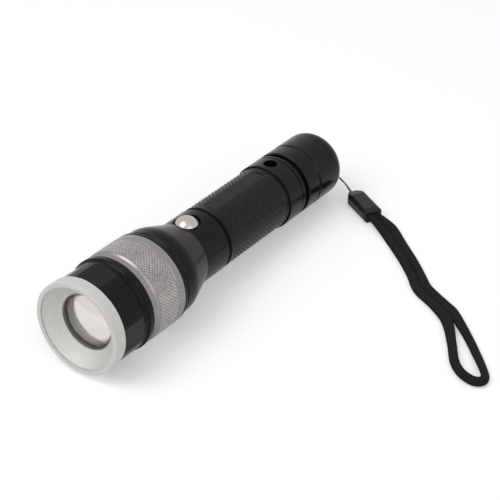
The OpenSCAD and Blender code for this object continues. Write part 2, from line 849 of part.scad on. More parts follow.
// black head with eight milled flats
module head_sleeve() {
    lip_reach = acos((head_groove_r + head_groove_round - lip_r) / head_groove_round);
    land_reach = acos((head_groove_r + head_groove_round - head_r) / head_groove_round);
    groove_edge = [for (i = [0 : 6])
        let (a = -lip_reach + (lip_reach + land_reach) * i / 6)
        [head_groove_r + head_groove_round * (1 - cos(a)), head_groove_z + head_groove_round * sin(a)]];
    color(black_metal) lay() difference() {
        lathe(concat(
            [[skirt_bore_r, skirt_rear], [skirt_r, skirt_rear], [skirt_r, head_rear],
             [lip_r - fine_cut, head_rear], [lip_r, head_rear + fine_cut]],
            groove_edge,
            [[head_r, head_front - fine_cut], [head_r - fine_cut, head_front], [thread_r, head_front],
             [thread_r, thread_rear], [head_bore_r, thread_rear], [head_bore_r, lip_front],
             [skirt_bore_r, lip_front]]));
        for (n = [0 : flat_count - 1])
            rotate([0, 0, -flat_clock - 360 * n / flat_count])
                translate([head_flat_gap / 2, -head_r / 2, flat_rear])
                    cube([head_r, head_r, head_len]);
        for (n = [0 : cam_count - 1])
            rotate([0, 0, cam_first + 360 * n / cam_count])
                toward_switch(follower_r + seat_fit, barrel_r - 1, skirt_r + 1, follower_z);
    }
}

// three pins that follow the cam grooves
module follower_pins() {
    color(steel_grey) lay() for (n = [0 : cam_count - 1])
        rotate([0, 0, cam_first + 360 * n / cam_count])
            toward_switch(follower_r, follower_in, follower_out, follower_z);
}

// dished front ring that screws into the head
module front_bezel() {
    dish_edge = [for (u = [0 : 0.125 : 1])
        [lens_open_r + (dish_r - lens_open_r) * u,
         ledge_front + (torch_len - rim_cut - ledge_front) * (0.6 * u + 0.4 * u * u)]];
    color(silver_metal) lay() lathe(concat(
        [[lens_seat_r, bezel_spigot_rear], [lens_seat_r, ledge_rear], [lens_open_r, ledge_rear]],
        dish_edge,
        [[dish_r + fine_cut, torch_len], [bezel_r - fine_cut, torch_len], [bezel_r, torch_len - fine_cut],
         [bezel_r, head_front + fine_cut], [bezel_r - fine_cut, head_front], [bezel_spigot_r, head_front],
         [bezel_spigot_r, bezel_spigot_rear]]));
}

// rubber gasket in front of the lens, with a sleeve that lines the opening
module lens_gasket() {
    color(rubber_black) lay() lathe([[gasket_in_r, lens_front], [lens_seat_r - seat_fit, lens_front],
        [lens_seat_r - seat_fit, ledge_rear], [lens_open_r - seat_fit, ledge_rear],
        [lens_open_r - seat_fit, gasket_front], [gasket_in_r, gasket_front]]);
}

// convex lens with its flange
module condenser_lens() {
    color([0.85, 0.90, 0.95, 0.5]) lay() union() {
        translate([0, 0, lens_rear]) cylinder(r = lens_r, h = lens_edge);
        intersection() {
            translate([0, 0, lens_front + lens_dome - lens_sphere]) sphere(r = lens_sphere, $fn = 96);
            translate([0, 0, lens_front - 0.5]) cylinder(r = lens_dome_r, h = lens_dome + 1);
        }
    }
}

// threaded ring behind the lens
module lens_retainer() {
    color(black_metal) lay() difference() {
        turned_ring(lens_seat_r - seat_fit, retainer_in_r, retainer_rear, lens_rear);
        translate([-lens_seat_r, -key_width / 2, retainer_rear - key_depth])
            cube([2 * lens_seat_r, key_width, 2 * key_depth]);
    }
}

// thin string round the cross pin
module lanyard_string() {
    color([0.75, 0.78, 0.72]) tube(string_path, round_section(string_d / 2));
}

// moulded block between string and strap
module lanyard_connector() {
    w = connector_width / 2;
    h = connector_height;
    l = connector_len;
    cut = 1.3;
    color(strap_black) translate([strap_from + connector_at[0], connector_at[1], 0])
        rotate([0, 0, connector_turn]) intersection() {
            linear_extrude(height = h)
                polygon([[0, 1.7], [3.6, w], [l - 1.2, w], [l, w - 0.3], [l, 0.3 - w], [l - 1.2, -w],
                         [3.6, -w], [0, -1.7]]);
            translate([0, w, 0]) rotate([90, 0, 0]) linear_extrude(height = 2 * w)
                polygon([[0, 1.6], [3, 0], [l, 0], [l, h - 0.8], [l - 2.4, h], [4.5, h], [0, h - 1.4]]);
            rotate([90, 0, 90]) linear_extrude(height = l)
                polygon([[cut - w, 0], [w - cut, 0], [w, cut], [w, h - cut], [w - cut, h], [cut - w, h],
                         [-w, h - cut], [-w, cut]]);
        }
}

// woven strap loop
module lanyard_strap() {
    color(strap_black) tube(strap_path, strap_section(strap_width, strap_thick), strap_grip);
}

body_tube();
tail_cap();
tail_o_ring();
neck_o_ring();
lanyard_pin();
spring_plate();
tail_spring();
charge_carrier();
charge_board();
dc_socket();
dc_contact();
cell_contact();
battery_cell();
driver_contact();
driver_board();
switch_housing();
switch_board();
tact_switch();
switch_plunger();
switch_button();
button_ring();
led_pill();
led_board();
led_emitter();
led_screws();
led_wires();
ring_circlip();
focus_ring();
head_sleeve();
follower_pins();
front_bezel();
lens_gasket();
condenser_lens();
lens_retainer();
lanyard_string();
lanyard_connector();
lanyard_strap();
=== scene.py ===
import bmesh
import bpy
from math import acos, atan, atan2, copysign, cos, hypot, pi, radians, sin
from mathutils import Matrix, Vector


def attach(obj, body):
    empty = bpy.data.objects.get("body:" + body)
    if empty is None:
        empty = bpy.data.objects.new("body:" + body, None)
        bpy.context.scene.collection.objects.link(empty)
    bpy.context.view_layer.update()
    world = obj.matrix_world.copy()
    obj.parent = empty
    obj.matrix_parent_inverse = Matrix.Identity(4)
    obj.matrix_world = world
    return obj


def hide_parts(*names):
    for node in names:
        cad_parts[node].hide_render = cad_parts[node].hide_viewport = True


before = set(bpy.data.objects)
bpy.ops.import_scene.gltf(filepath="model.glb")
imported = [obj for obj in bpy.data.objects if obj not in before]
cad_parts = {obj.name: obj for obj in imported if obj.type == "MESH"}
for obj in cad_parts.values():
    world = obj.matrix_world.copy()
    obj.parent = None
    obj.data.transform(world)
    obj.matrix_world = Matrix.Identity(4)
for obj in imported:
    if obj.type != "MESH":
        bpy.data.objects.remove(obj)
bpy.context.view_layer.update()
scene = bpy.context.scene
scene.view_settings.view_transform = "Standard"

# The view: a long lens looking down at the front of the torch from its left side.
# Place, angle and lens follow the turned edges of head, ring and tail.
camera_data = bpy.data.cameras.new("view_camera")
camera_data.sensor_width = 36
camera_data.lens = 117.43
camera = bpy.data.objects.new("view_camera", camera_data)
camera.location = (0.41019, 0.31392, 0.36229)
camera.rotation_euler = (radians(55.7435), radians(0.4651), radians(125.294))
scene.collection.objects.link(camera)
scene.camera = camera

# How the torch lies: its collar and the rounded tail touch the floor, so the axis rises
# toward the lens. Pieces are turned on a bench that starts 1.5 mm behind the tail, switch
# toward +X, in millimetres, and then laid down in the shared frame.
collar_r, collar_rear = 18.4, 114.4
tail_r, tail_round, tail_end = 13.6, 6.0, 1.5
bezel_r, bezel_front, bezel_break = 18.2, 155.0, 0.2
lie = atan((collar_r - tail_r) / (collar_rear - tail_end - tail_round))
rest_z = tail_round + (tail_r - tail_round) * cos(lie) - tail_round * sin(lie)
front_x = (bezel_front - tail_end) * cos(lie) + (bezel_r - bezel_break) * sin(lie)
rear_x = tail_round * cos(lie) - (tail_r - tail_round) * sin(lie) - tail_round
tail_x = -(front_x + rear_x) / 2
lay = (Matrix.Scale(0.001, 4) @ Matrix.Translation((tail_x, 0, rest_z))
       @ Matrix.Rotation(pi / 2 - lie, 4, "Y") @ Matrix.Rotation(pi, 4, "Z")
       @ Matrix.Translation((0, 0, -tail_end)))

# Battery tube: turned aluminium, black anodised, with a rolled diamond knurl for grip,
# a milled label flat on top and the charging hole in the smooth rear collar.
# Its rear thread screws into the tail cap and its front socket takes the neck.


def turned(outline, steps=160, soften=0.12, closed=True):
    """A lathe shape from (radius, height) points; sharp turned edges are broken and marked as worn."""
    bm = bmesh.new()
    verts = [bm.verts.new((r, 0, z)) for r, z in outline]
    ends = verts[1:] + (verts[:1] if closed else [])
    edges = [bm.edges.new(pair) for pair in zip(verts, ends)]
    bmesh.ops.spin(bm, geom=verts + edges, cent=(0, 0, 0), axis=(0, 0, 1), angle=2 * pi,
                   steps=steps, use_merge=True)
    bmesh.ops.remove_doubles(bm, verts=bm.verts, dist=0.0005)
    bmesh.ops.recalc_face_normals(bm, faces=bm.faces)
    wear_and_shade_mask = bm.verts.layers.float.new("wear_and_shade_mask")
    if soften:
        sharp = [e for e in bm.edges if len(e.link_faces) == 2 and e.calc_face_angle() > radians(28)
                 and abs(e.verts[0].co.z - e.verts[1].co.z) < 1e-4]
        rounded = bmesh.ops.bevel(bm, geom=sharp, offset=soften, offset_type="OFFSET", segments=2,
                                  profile=0.5, affect="EDGES", clamp_overlap=True, material=-1)
        broken = set(rounded["faces"])
        for vert in {vert for face in broken for vert in face.verts}:
            vert[wear_and_shade_mask] = float(all(face in broken for face in vert.link_faces))
    return bm


def knurl(bm, radius, low, row, rows, depth, steps, wide):
    """Presses a diamond knurl into a turned band: crossing grooves, a diamond is wide steps across."""
    # the tip height of each vertex is kept as a mask; materials that read it paint the tips lighter as
    # highlight and leave the grooves darker as shade
    tips_and_painted_shade = bm.verts.layers.float.new("tips_and_painted_shade")
    grooves = []
    for vert in bm.verts:
        j = (vert.co.z - low) / row
        if abs(hypot(vert.co.x, vert.co.y) - radius + depth) > 0.01 or not 0.5 < j < rows - 0.5:
            continue
        i = round(atan2(vert.co.y, vert.co.x) / (2 * pi) * steps)
        vert[tips_and_painted_shade] = min(1 - abs(2 * ((i + sense * round(j)) % wide) / wide - 1) for sense in (1, -1))
        if vert[tips_and_painted_shade] == 0:
            grooves.append(vert)
        grow = 1 + depth * vert[tips_and_painted_shade] / (radius - depth)
        vert.co.x *= grow
        vert.co.y *= grow
    bmesh.ops.connect_verts(bm, verts=grooves)


def to_object(bm, name, place=lay, crease=12):
    """Lays a bench mesh down in the shared frame as a linked object, sharp over the crease angle."""
    bmesh.ops.transform(bm, matrix=place, verts=bm.verts)
    mesh = bpy.data.meshes.new(name)
    bm.to_mesh(mesh)
    bm.free()
    mesh.shade_smooth()
    mesh.set_sharp_from_angle(angle=radians(crease))
    obj = bpy.data.objects.new(name, mesh)
    scene.collection.objects.link(obj)
    return obj


def cut_with(obj, cutter_bm, crease=12):
    """Cuts a bench shape out of a laid-down object and keeps the result in its mesh."""
    cutter = to_object(cutter_bm, "cutter")
    modifier = obj.modifiers.new("cut", "BOOLEAN")
    modifier.operation = "DIFFERENCE"
    modifier.solver = "EXACT"
    modifier.object = cutter
    mesh = bpy.data.meshes.new_from_object(obj.evaluated_get(bpy.context.evaluated_depsgraph_get()))
    obj.modifiers.clear()
    spent = [obj.data, cutter.data]
    obj.data = mesh
    bpy.data.objects.remove(cutter)
    for old in spent:
        bpy.data.meshes.remove(old)
    mesh.shade_smooth()
    mesh.set_sharp_from_angle(angle=radians(crease))


def block(bm, low, high, turn=0.0):
    """Adds a box between two bench corners, turned about the torch axis."""
    made = bmesh.ops.create_cube(bm, size=1)["verts"]
    size = Vector(high) - Vector(low)
    middle = (Vector(high) + Vector(low)) / 2
    bmesh.ops.scale(bm, vec=size, verts=made)
    bmesh.ops.translate(bm, vec=middle, verts=made)
    bmesh.ops.rotate(bm, cent=(0, 0, 0), matrix=Matrix.Rotation(radians(turn), 3, "Z"), verts=made)


def drill(bm, radius, low, high, z, turn=0.0):
    """Adds a round bar that points away from the torch axis, toward the switch side or turned from it."""
    made = bmesh.ops.create_cone(bm, cap_ends=True, segments=72, radius1=radius, radius2=radius,
                                 depth=high - low)["verts"]
    bmesh.ops.rotate(bm, cent=(0, 0, 0), matrix=Matrix.Rotation(pi / 2, 3, "Y"), verts=made)
    bmesh.ops.translate(bm, vec=((low + high) / 2, 0, z), verts=made)
    bmesh.ops.rotate(bm, cent=(0, 0, 0), matrix=Matrix.Rotation(radians(turn), 3, "Z"), verts=made)


def set_on(obj, body, material, slot, *stands_for, edge=0.0):
    """Finishes a piece: broken edges, even normals, its material, its body and the nodes it stands for."""
    if edge:
        broken = obj.modifiers.new("broken_edges", "BEVEL")
        broken.width = edge / 1000
        broken.segments = 2
        broken.angle_limit = radians(38)
    even = obj.modifiers.new("even_normals", "WEIGHTED_NORMAL")
    even.keep_sharp = True
    obj.data.materials.clear()
    obj.data.materials.append(material)
    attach(obj, body)
    if stands_for:
        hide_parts(*stands_for)


def new_group(name, inputs, outputs):
    """An empty shader group with its named sockets and its two end nodes."""
    group = bpy.data.node_groups.new(name, "ShaderNodeTree")
    for socket, kind, value in inputs:
        made = group.interface.new_socket(name=socket, in_out="INPUT", socket_type=kind)
        made.default_value = value
    for socket, kind in outputs:
        group.interface.new_socket(name=socket, in_out="OUTPUT", socket_type=kind)
    return group, group.nodes.new("NodeGroupInput"), group.nodes.new("NodeGroupOutput")


def add(tree, kind, links=(), **values):
    """Adds a shader node, sets its properties and links or sets its numbered or named inputs."""
    node = tree.nodes.new(kind)
    for key, value in values.items():
        setattr(node, key, value)
    for socket, source in links:
        if isinstance(source, bpy.types.NodeSocket):
            tree.links.new(source, node.inputs[socket])
        else:
            node.inputs[socket].default_value = source
    return node


# lathe marks: fine rings round the torch axis, with a cloudy grain over them
lathe_marks, marks_in, marks_out = new_group(
    "lathe_marks",
    [("Lines", "NodeSocketFloat", 4.0), ("Grain", "NodeSocketFloat", 0.6)],
    [("Rings", "NodeSocketFloat"), ("Cloud", "NodeSocketFloat"), ("Height", "NodeSocketFloat")])
bench_back = lay.inverted()
marks_coord = add(lathe_marks, "ShaderNodeTexCoord")
marks_place = add(lathe_marks, "ShaderNodeMapping", [
    ("Vector", marks_coord.outputs["Object"]), ("Scale", (1000, 1000, 1000)),
    ("Rotation", bench_back.to_euler("XYZ")), ("Location", bench_back.to_translation())])
marks_split = add(lathe_marks, "ShaderNodeSeparateXYZ", [(0, marks_place.outputs[0])])
marks_flat = add(lathe_marks, "ShaderNodeCombineXYZ", [
    (0, marks_split.outputs[0]), (1, marks_split.outputs[1])])
marks_r = add(lathe_marks, "ShaderNodeVectorMath", [(0, marks_flat.outputs[0])], operation="LENGTH")
marks_rz = add(lathe_marks, "ShaderNodeCombineXYZ", [
    (0, marks_split.outputs[2]), (1, marks_r.outputs["Value"])])
marks_ring = add(lathe_marks, "ShaderNodeTexNoise", [
    ("Vector", marks_rz.outputs[0]), ("Scale", marks_in.outputs["Lines"]), ("Detail", 2.0)],
    noise_dimensions="2D")
marks_cloud = add(lathe_marks, "ShaderNodeTexNoise", [
    ("Vector", marks_place.outputs[0]), ("Scale", marks_in.outputs["Grain"]), ("Detail", 1.0)])
marks_sum = add(lathe_marks, "ShaderNodeMath", [
    (0, marks_cloud.outputs[0]), (1, 0.1), (2, marks_ring.outputs[0])], operation="MULTIPLY_ADD")
lathe_marks.links.new(marks_ring.outputs[0], marks_out.inputs["Rings"])
lathe_marks.links.new(marks_cloud.outputs[0], marks_out.inputs["Cloud"])
lathe_marks.links.new(marks_sum.outputs[0], marks_out.inputs["Height"])


def turned_metal(name, dark, light, metallic, rough, lines, grain, bump, wear_and_shade_color=None, wear_and_shade_mask="wear_and_shade_mask",
                 specular=0.5):
    """A turned metal skin: lathe marks in colour, roughness and bump, with a lighter colour on a mask, which
    is real wear on broken edges and, on knurls, painted highlight on the tips with painted shade left in the
    grooves.
    """
    material = bpy.data.materials.new(name)
    material.use_nodes = True
    tree = material.node_tree
    shader = tree.nodes["Principled BSDF"]
    marks = add(tree, "ShaderNodeGroup", node_tree=lathe_marks)
    marks.inputs["Lines"].default_value = lines
    marks.inputs["Grain"].default_value = grain
    color = add(tree, "ShaderNodeMix", [
        ("Factor", marks.outputs["Cloud"]), (6, (*dark, 1)), (7, (*light, 1))], data_type="RGBA").outputs[2]
    if wear_and_shade_color:
        edge = add(tree, "ShaderNodeAttribute", attribute_name=wear_and_shade_mask)
        spots = add(tree, "ShaderNodeMapRange", [
            ("Value", marks.outputs["Cloud"]), ("From Min", 0.2), ("From Max", 0.6)])
        amount = add(tree, "ShaderNodeMath", [
            (0, edge.outputs["Fac"]), (1, spots.outputs[0])], operation="MULTIPLY")
        color = add(tree, "ShaderNodeMix", [
            ("Factor", amount.outputs[0]), (6, color), (7, (*wear_and_shade_color, 1))], data_type="RGBA").outputs[2]
    tree.links.new(color, shader.inputs["Base Color"])
    sheen = add(tree, "ShaderNodeMapRange", [
        ("Value", marks.outputs["Rings"]), ("From Min", 0.3), ("From Max", 0.7),
        ("To Min", rough[0]), ("To Max", rough[1])])
    tree.links.new(sheen.outputs[0], shader.inputs["Roughness"])
    relief = add(tree, "ShaderNodeBump", [
        ("Height", marks.outputs["Height"]), ("Strength", bump), ("Distance", 0.0001)])
    tree.links.new(relief.outputs[0], shader.inputs["Normal"])
    shader.inputs["Metallic"].default_value = metallic
    shader.inputs["Specular IOR Level"].default_value = specular
    return material


tube_r, rear_collar_r, bore_r, spigot_r, seat_r, socket_r = 13.0, 13.6, 9.45, 11.3, 10.9, 11.35
spigot_rear, seat_rear, tube_rear, tube_front, socket_rear = 20.0, 27.6, 30.5, 80.1, 74.5
thread_rear, thread_pitch, thread_depth, thread_turns = 20.6, 0.75, 0.35, 9
rear_chamfer, score_rear, score_front, score_depth = 0.4, 32.25, 32.75, 0.3
rear_collar_front, relief_front, end_chamfer = 41.25, 41.75, 0.3
tube_knurl_low, tube_knurl_row, tube_knurl_rows, tube_knurl_lead = 42.6, 0.35, 102, 0.2
tube_knurl_depth, tube_knurl_steps, tube_knurl_wide = 0.14, 234, 6
tube_knurl_high = tube_knurl_low + tube_knurl_row * tube_knurl_rows
thread_tips = []
for turn in range(thread_turns):
    tip_z = thread_rear + thread_pitch * turn
    thread_tips += [(spigot_r, tip_z), (spigot_r - thread_depth, tip_z + thread_depth)]
tube_outline = (
    [(bore_r, spigot_rear), (spigot_r - thread_depth, spigot_rear)] + thread_tips
    + [(seat_r, seat_rear), (seat_r, tube_rear), (rear_collar_r - rear_chamfer, tube_rear),
       (rear_collar_r, tube_rear + rear_chamfer), (rear_collar_r, score_rear),
       (rear_collar_r - score_depth, score_rear), (rear_collar_r - score_depth, score_front),
       (rear_collar_r, score_front), (rear_collar_r, rear_collar_front - end_chamfer),
       (rear_collar_r - end_chamfer, rear_collar_front), (tube_r - score_depth, rear_collar_front),
       (tube_r - score_depth, relief_front), (tube_r, relief_front),
       (tube_r, tube_knurl_low - tube_knurl_lead)]
    + [(tube_r - tube_knurl_depth, tube_knurl_low + tube_knurl_row * j) for j in range(tube_knurl_rows + 1)]
    + [(tube_r, tube_knurl_high + tube_knurl_lead), (tube_r, tube_front - end_chamfer),
       (tube_r - end_chamfer, tube_front), (socket_r, tube_front), (socket_r, socket_rear),
       (bore_r, socket_rear)])
tube_bm = turned(tube_outline, steps=tube_knurl_steps, soften=0.08)
knurl(tube_bm, tube_r, tube_knurl_low, tube_knurl_row, tube_knurl_rows, tube_knurl_depth, tube_knurl_steps,
      tube_knurl_wide)
body_tube = to_object(tube_bm, "tube_body")
label_r, label_half, label_low, label_high, label_run_out = 12.548, 5, 45.1, 77.1, 8
port_r, port_z, port_floor, outside_tube = 2.8, 36.7, 7.5, 15
tube_cutter = bmesh.new()
block(tube_cutter, (label_r, -label_half, label_low), (outside_tube, label_half, label_high))
run_out = [vert for vert in tube_cutter.verts if vert.co.x > outside_tube - 1 and vert.co.z < label_low + 1]
bmesh.ops.translate(tube_cutter, vec=(0, 0, -label_run_out), verts=run_out)
drill(tube_cutter, port_r, port_floor, outside_tube, port_z)
cut_with(body_tube, tube_cutter)
# the knurl tips get the lighter colour: painted highlight on the tips, painted shade in the grooves
black_knurled = turned_metal("black_knurled", (0.003, 0.003, 0.0032), (0.005, 0.0048, 0.0053), metallic=0.0,
                             rough=(0.22, 0.30), lines=4.2, grain=0.5, bump=0.03,
                             wear_and_shade_color=(0.014, 0.014, 0.016), wear_and_shade_mask="tips_and_painted_shade", specular=0.14)
set_on(body_tube, "tube", black_knurled, "black_aluminium", "body_tube")

# Seals at both ends of the tube: black rubber rings in the gaps to tail cap and neck,
# pressed between turned faces, so they show only as dark lines.


def arc(center_r, center_z, radius, start, end, count):
    """Outline points on a turned fillet, angles in degrees from straight out."""
    return [(center_r + radius * cos(radians(start + (end - start) * i / count)),
             center_z + radius * sin(radians(start + (end - start) * i / count))) for i in range(count + 1)]


def moulded(name, dark, light, rough, scale, bump, metallic=0.0, specular=0.5):
    """A moulded, coated or plain skin: a soft grain in colour, roughness and bump."""
    material = bpy.data.materials.new(name)
    material.use_nodes = True
    tree = material.node_tree
    shader = tree.nodes["Principled BSDF"]
    coord = add(tree, "ShaderNodeTexCoord")
    grain = add(tree, "ShaderNodeTexNoise", [
        ("Vector", coord.outputs["Object"]), ("Scale", scale * 1000), ("Detail", 3.0)])
    color = add(tree, "ShaderNodeMix", [
        ("Factor", grain.outputs[0]), (6, (*dark, 1)), (7, (*light, 1))], data_type="RGBA")
    tree.links.new(color.outputs[2], shader.inputs["Base Color"])
    sheen = add(tree, "ShaderNodeMapRange", [
        ("Value", grain.outputs[0]), ("From Min", 0.3), ("From Max", 0.7),
        ("To Min", rough[0]), ("To Max", rough[1])])
    tree.links.new(sheen.outputs[0], shader.inputs["Roughness"])
    relief = add(tree, "ShaderNodeBump", [
        ("Height", grain.outputs[0]), ("Strength", bump), ("Distance", 0.0001)])
    tree.links.new(relief.outputs[0], shader.inputs["Normal"])
    shader.inputs["Metallic"].default_value = metallic
    shader.inputs["Specular IOR Level"].default_value = specular
    return material


seal_rubber = moulded("seal_rubber", (0.005, 0.005, 0.005), (0.009, 0.009, 0.009), rough=(0.5, 0.7),
                      scale=2.0, bump=0.1, specular=0.02)
for name, major, minor, z in (("tail_o_ring", 11.85, 0.9, 29.25), ("neck_o_ring", 12.1, 0.89, 81.0)):
    seal_bm = turned(arc(major, z, minor, 0, 360, 36)[:-1], soften=0)
    set_on(to_object(seal_bm, name + "_rubber"), "tube", seal_rubber, "seal_rubber", name)

# Tail cap: turned from black anodised bar, with a rounded rear edge, one V groove and a
# milled slot in the rear face. A steel cross pin in the slot holds the wrist string.
# It screws over the rear thread of the tube.


def dress(material, *names):
    """Gives CAD pieces whose shape is right their material."""
    for name in names:
        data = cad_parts[name].data
        data.materials.clear()
        data.materials.append(material)


black_anodised = turned_metal("black_anodised", (0.0024, 0.0022, 0.0025), (0.0042, 0.0038, 0.0044),
                              metallic=0.0, rough=(0.18, 0.26), lines=4.2, grain=0.5, bump=0.03,
                              wear_and_shade_color=(0.05, 0.05, 0.053), specular=0.14)
steel = moulded("bare_steel", (0.42, 0.42, 0.43), (0.52, 0.52, 0.53), rough=(0.28, 0.4), scale=1.5,
                bump=0.05, metallic=1.0)
cap_front, cap_chamfer, cap_thread_r, cap_thread_rear = 28.0, 0.4, 11.38, 18.0
cap_groove, cap_groove_half, cap_groove_depth = 20.0, 0.75, 0.6
spring_well_r, spring_well_rear = 8.5, 8.5
slot_half_w, slot_half_l, slot_depth, outside_cap = 1.75, 7, 4, 1
pin_r, pin_fit, pin_z, pin_hole_outer, pin_hole_inner = 0.9, 0.025, tail_end + 2, -14, 4.05
cap_outline = (
    [(0, tail_end)] + arc(tail_r - tail_round, tail_end + tail_round, tail_round, -90, 0, 14)
    + [(tail_r, cap_groove - cap_groove_half), (tail_r - cap_groove_depth, cap_groove),
       (tail_r, cap_groove + cap_groove_half), (tail_r, cap_front - cap_chamfer),
       (tail_r - cap_chamfer, cap_front), (cap_thread_r, cap_front), (cap_thread_r, cap_thread_rear),
       (spring_well_r, cap_thread_rear), (spring_well_r, spring_well_rear), (0, spring_well_rear)])
tail_cap = to_object(turned(cap_outline, closed=False), "tail_cap_body")
cap_cutter = bmesh.new()
block(cap_cutter, (-slot_half_w, -slot_half_l, tail_end - outside_cap),
      (slot_half_w, slot_half_l, tail_end + slot_depth))
cut_with(tail_cap, cap_cutter)
pin_cutter = bmesh.new()
drill(pin_cutter, pin_r + pin_fit, pin_hole_outer, pin_hole_inner, pin_z)
cut_with(tail_cap, pin_cutter)
set_on(tail_cap, "tail", black_anodised, "black_aluminium", "tail_cap")
dress(steel, "lanyard_pin")

# Neck and collar: one turned piece, black anodised. The straight neck carries the switch in a
# milled pocket, flares into the shoulder and ends in a thin collar behind the focus ring.
# Its barrel goes on inside ring and head and holds the light engine; slots guide the head.
neck_r, shoulder_r, barrel_r, waist_r, engine_r = 13.15, 17.7, 13.0, 17.0, 10.6
plug_rear, plug_front, neck_rear, neck_front = 75.0, 79.7, 81.9, 95.4
shoulder_rear, shoulder_front, waist_rear, waist_front = 110.0, 112.5, 113.4, 113.8
collar_front, barrel_front, engine_rear, thin_break = 115.6, 131.0, 112.9, 0.2
flare_round, flare_reach = 12, 20
circlip_r, circlip_rear, circlip_front = 12.5, 117.65, 118.55
switch_z, pocket_r, pocket_floor, board_r, board_floor, board_top = 91.1, 5.35, 9.6, 3.7, 5.0, 10.6
guide_turns, guide_half, guide_floor, guide_outer = (60, 180, 300), 1.3, 11.6, 16.0
guide_rear, guide_front = 120.0, 135.0
housing_outline = (
    [(bore_r, plug_rear), (spigot_r, plug_rear), (spigot_r, plug_front), (seat_r, plug_front),
     (seat_r, neck_rear), (neck_r - thin_break, neck_rear), (neck_r, neck_rear + thin_break),
     (neck_r, neck_front)]
    + arc(shoulder_r - flare_round, shoulder_rear, flare_round, -flare_reach, 0, 8)
    + [(shoulder_r, shoulder_front), (waist_r, waist_rear), (waist_r, waist_front), (collar_r, collar_rear),
       (collar_r, collar_front - thin_break), (collar_r - thin_break, collar_front), (barrel_r, collar_front),
       (barrel_r, circlip_rear), (circlip_r, circlip_rear), (circlip_r, circlip_front),
       (barrel_r, circlip_front), (barrel_r, barrel_front), (engine_r, barrel_front), (engine_r, engine_rear),
       (bore_r, engine_rear)])
housing = to_object(turned(housing_outline), "neck_housing")
housing_cutter = bmesh.new()
drill(housing_cutter, pocket_r, pocket_floor, collar_r, switch_z)
cut_with(housing, housing_cutter)
guide_cutter = bmesh.new()
drill(guide_cutter, board_r, board_floor, board_top, switch_z)
for turn in guide_turns:
    block(guide_cutter, (guide_floor, -guide_half, guide_rear), (guide_outer, guide_half, guide_front), turn)
cut_with(housing, guide_cutter)
set_on(housing, "tube", black_anodised, "black_aluminium", "switch_housing", edge=0.12)
dress(steel, "ring_circlip")

# Push button: a domed cap pressed from plated metal, held in the pocket by its flange and a
# black ring. Below it a white plunger works the switch on its small board.
plated = turned_metal("plated_button", (0.42, 0.395, 0.36), (0.50, 0.475, 0.435), metallic=1.0,
                      rough=(0.24, 0.30), lines=3.0, grain=0.5, bump=0.01)
button_r, button_top, button_rim, button_hollow_r, button_roof = 4.4, 15.05, 12.45, 3.5, 12.35
button_flange_r, button_flange_low, button_flange_high = 4.95, 10.6, 10.95
dome_steps, dome_h = 14, button_top - button_rim
dome_r = (button_r ** 2 + dome_h ** 2) / (2 * dome_h)
dome_edge = acos(1 - dome_h / dome_r)
button_outline = [
    (0, button_roof), (button_hollow_r, button_roof), (button_hollow_r, button_flange_low),
    (button_flange_r, button_flange_low), (button_flange_r, button_flange_high),
    (button_r, button_flange_high)]
for k in range(dome_steps, -1, -1):
    swing = dome_edge * k / dome_steps
    button_outline.append((dome_r * sin(swing), button_top - dome_r + dome_r * cos(swing)))
stand_up = Matrix.Translation((0, 0, switch_z)) @ Matrix.Rotation(pi / 2, 4, "Y")
button = to_object(turned(button_outline, steps=96, soften=0.15, closed=False), "push_button", lay @ stand_up)
set_on(button, "button", plated, "bright_button", "switch_button")
black_plastic = moulded("black_plastic", (0.006, 0.006, 0.006), (0.01, 0.011, 0.01), rough=(0.38, 0.5),
                        scale=1.2, bump=0.1, specular=0.25)
white_plastic = moulded("white_plastic", (0.72, 0.72, 0.70), (0.82, 0.82, 0.80), rough=(0.35, 0.5),
                        scale=0.8, bump=0.05)
board_green = moulded("solder_mask", (0.015, 0.075, 0.035), (0.025, 0.10, 0.05), rough=(0.25, 0.4),
                      scale=0.6, bump=0.05)
dress(black_plastic, "button_ring", "tact_switch", "dc_socket")
dress(white_plastic, "switch_plunger", "charge_carrier", "led_board")
dress(board_green, "switch_board", "charge_board", "driver_board")

# Focus ring: bare aluminium, satin, with a rolled diamond knurl and a chamfer down to a plain
# nose. It turns on the barrel; three cam grooves inside push the head out along its guides.
# the knurl tips get the brighter colour: painted highlight on the tips over painted shade in the grooves; the
# plain bands keep the base colour
ring_satin = turned_metal("ring_satin", (0.24, 0.230, 0.226), (0.29, 0.278, 0.273), metallic=1.0,
                          rough=(0.26, 0.36), lines=5.0, grain=0.7, bump=0.05,
                          wear_and_shade_color=(0.50, 0.48, 0.472), wear_and_shade_mask="tips_and_painted_shade")
ring_r, ring_band_r, ring_nose_r, ring_bore_r, slide_r = 18.6, 18.45, 17.7, 15.75, 13.08
ring_rear, ring_band_front, ring_step_front, ring_web_front, ring_break = 115.9, 119.0, 119.3, 117.4, 0.2
ring_chamfer_rear, ring_chamfer_front, ring_front = 130.25, 131.2, 133.55
ring_knurl_low, ring_knurl_row, ring_knurl_rows = 119.6, 0.375, 28
ring_knurl_depth, ring_knurl_steps, ring_knurl_wide = 0.3, 312, 4
ring_outline = (
    [(slide_r, ring_rear), (ring_band_r - ring_break, ring_rear), (ring_band_r, ring_rear + ring_break),
     (ring_band_r, ring_band_front), (ring_r - ring_knurl_depth, ring_step_front)]
    + [(ring_r - ring_knurl_depth, ring_knurl_low + ring_knurl_row * j) for j in range(ring_knurl_rows + 1)]
    + [(ring_band_r, ring_chamfer_rear), (ring_nose_r, ring_chamfer_front),
       (ring_nose_r, ring_front - ring_break), (ring_nose_r - ring_break, ring_front),
       (ring_bore_r, ring_front), (ring_bore_r, ring_web_front), (slide_r, ring_web_front)])
ring_bm = turned(ring_outline, steps=ring_knurl_steps, soften=0.1)
